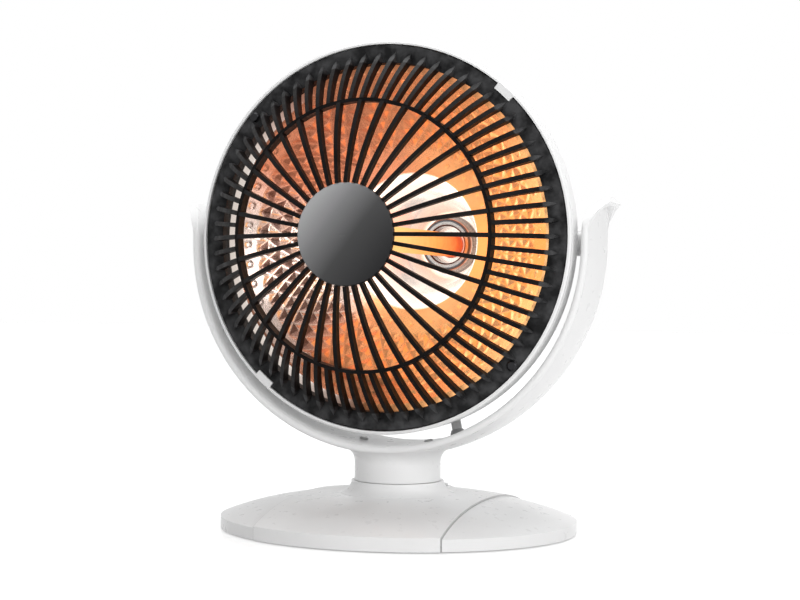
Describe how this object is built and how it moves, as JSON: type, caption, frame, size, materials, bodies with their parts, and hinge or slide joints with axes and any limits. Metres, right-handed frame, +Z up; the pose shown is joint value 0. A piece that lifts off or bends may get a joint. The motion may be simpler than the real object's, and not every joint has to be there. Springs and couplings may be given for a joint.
{
  "type": "radiant dish heater",
  "caption": "Round radiant heater: domed rib guard over a dish reflector with a glowing rod, tilting in a C-shaped yoke that swivels on an oval foot.",
  "frame": {"origin": "on the floor, under the swivel axis at the middle of the foot", "axes": "+Z up along the swivel axis, the head faces -Y, the tilt axis runs along X"},
  "size_m": [0.2836, 0.2297, 0.3071],
  "materials": {
    "grille": "satin black",
    "hub_cap": "satin dark grey",
    "bezel_ring": "gloss white",
    "rear_housing": "gloss white",
    "rear_cap": "gloss white",
    "reflector": "hammered bright sheet",
    "reflector_well": "polished bright sheet",
    "collar": "polished",
    "rod": "glowing orange",
    "ceramic": "unglazed off-white",
    "steel": "zinc plated",
    "black_screw": "black",
    "yoke": "gloss white",
    "foot": "gloss white",
    "plate": "matt off-white",
    "grey_plastic": "matt light grey",
    "lead": "light grey sheath",
    "rubber": "black",
    "iron": "painted grey",
    "black_plastic": "matt black"
  },
  "bodies": {
    "foot": {"base_centre_cover": "foot", "base_wing_left": "foot", "base_wing_right": "foot", "base_plate": "plate", "thrust_washer": "grey_plastic", "ballast_weight": "iron", "rubber_feet": "rubber", "base_screws": "steel", "switch_housing": "black_plastic", "tip_switch": "black_plastic", "plunger_spring": "steel", "cord_gland": "grey_plastic", "terminal_block": "ceramic"},
    "yoke": {"yoke_shell": "yoke", "yoke_liner": "yoke", "liner_screws": "steel", "pivot_pins": "steel", "friction_washers": "grey_plastic", "yoke_gland": "grey_plastic", "swivel_spindle": "steel", "spindle_screws": "steel", "spindle_washer": "steel", "wave_washer": "steel", "swivel_nut": "steel"},
    "head": {"grille": "grille", "hub_cap": "hub_cap", "grille_screws": "black_screw", "bezel_ring": "bezel_ring", "reflector": "reflector", "reflector_well": "reflector_well", "element_collar": "collar", "ceramic_rod": "rod", "ceramic_socket": "ceramic", "socket_bracket": "steel", "thermal_cutoff": "ceramic", "rear_housing": "rear_housing", "rear_cap": "rear_cap", "housing_screws": "steel", "cap_screws": "steel", "pivot_bushes": "grey_plastic", "head_gland": "grey_plastic", "flex_lead": "lead"},
    "rocker": {"rocker": "black_plastic"},
    "plunger": {"tip_plunger": "grey_plastic"}
  },
  "joints": [
    {"name": "swivel", "type": "hinge", "parent": "foot", "child": "yoke", "pos_m": [0, 0, 0.031], "axis": [0, 0, 1], "range_deg": [-45, 45]},
    {"name": "tilt", "type": "hinge", "parent": "yoke", "child": "head", "pos_m": [0, 0, 0.182], "axis": [1, 0, 0], "range_deg": [-15, 15], "deforming": ["flex_lead"]},
    {"name": "power_switch", "type": "hinge", "parent": "foot", "child": "rocker", "pos_m": [0, 0.07413, 0.01894], "axis": [1, 0, 0], "range_deg": [-14, 0]},
    {"name": "tip_over_plunger", "type": "slide", "parent": "foot", "child": "plunger", "axis": [0, 0, -1], "range_m": [0, 0.003], "stiffness_N_per_m": 80, "springref_m": 0.008, "deforming": ["plunger_spring"]}
  ]
}
